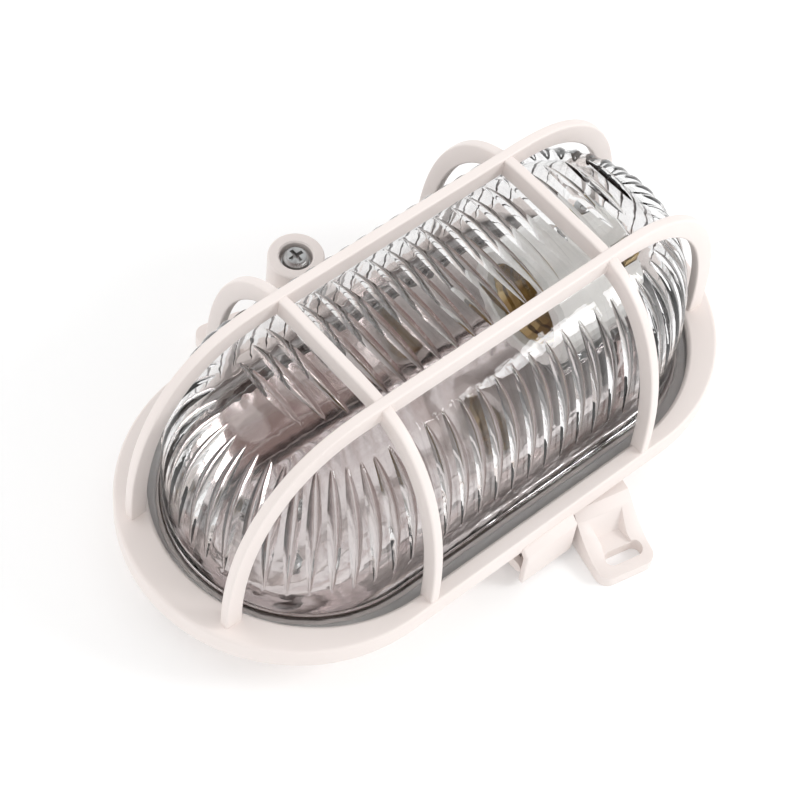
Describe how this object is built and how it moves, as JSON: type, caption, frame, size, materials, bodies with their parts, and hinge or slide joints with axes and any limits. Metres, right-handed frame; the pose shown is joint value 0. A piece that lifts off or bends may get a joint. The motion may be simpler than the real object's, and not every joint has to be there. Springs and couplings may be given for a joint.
{
  "type": "bulkhead lamp",
  "caption": "Oval bulkhead lamp for a wall or ceiling: ribbed glass cover under a hinged moulded cage, porcelain lampholder and reflector in a base with slotted ears",
  "frame": {"origin": "in the mounting face, at the middle of the oval and of the outline of the ears and lug", "axes": "+Z out of the wall, +X along the length towards the lampholder end, -Y towards the hinge side"},
  "size_m": [0.208, 0.1516, 0.0924],
  "materials": {
    "white_plastic": "satin moulded",
    "clear_glass": "pressed, clear",
    "aluminium_sheet": "bright rolled",
    "porcelain": "glazed",
    "brass": "stamped",
    "zinc_steel": "zinc plated",
    "dark_rubber": "matt",
    "grey_rubber": "matt"
  },
  "bodies": {
    "base": {"base_tray": "white_plastic", "gasket": "dark_rubber", "reflector": "aluminium_sheet", "reflector_screw_1": "zinc_steel", "reflector_screw_2": "zinc_steel", "holder_bracket": "zinc_steel", "bracket_screw_1": "zinc_steel", "bracket_screw_2": "zinc_steel", "lampholder_body": "porcelain", "holder_screw_1": "zinc_steel", "holder_screw_2": "zinc_steel", "thread_shell": "brass", "centre_contact": "brass", "side_contact": "brass", "terminal_clamp_1": "brass", "terminal_clamp_2": "brass", "terminal_screw_1": "zinc_steel", "terminal_screw_2": "zinc_steel", "cable_grommet_1": "grey_rubber", "cable_grommet_2": "grey_rubber"},
    "cover": {"grille": "white_plastic", "glass_cover": "clear_glass"},
    "washer": {"screw_washer": "zinc_steel"},
    "screw": {"closing_screw": "zinc_steel"}
  },
  "joints": [
    {"name": "cover_hinge", "type": "hinge", "parent": "base", "child": "cover", "pos_m": [0, -0.0525, 0.0065], "axis": [1, 0, 0], "range_deg": [0, 72]},
    {"name": "screw_rise", "type": "slide", "parent": "cover", "child": "washer", "axis": [0, 0, 1], "range_m": [0, 0.0042]},
    {"name": "screw_turn", "type": "hinge", "parent": "washer", "child": "screw", "pos_m": [0, 0.0635, 0.03], "axis": [0, 0, 1], "range_deg": [0, 2160]}
  ],
  "couplings": [
    {"joint": "screw_turn", "follows": "screw_rise", "rad_per_m": 8976}
  ]
}
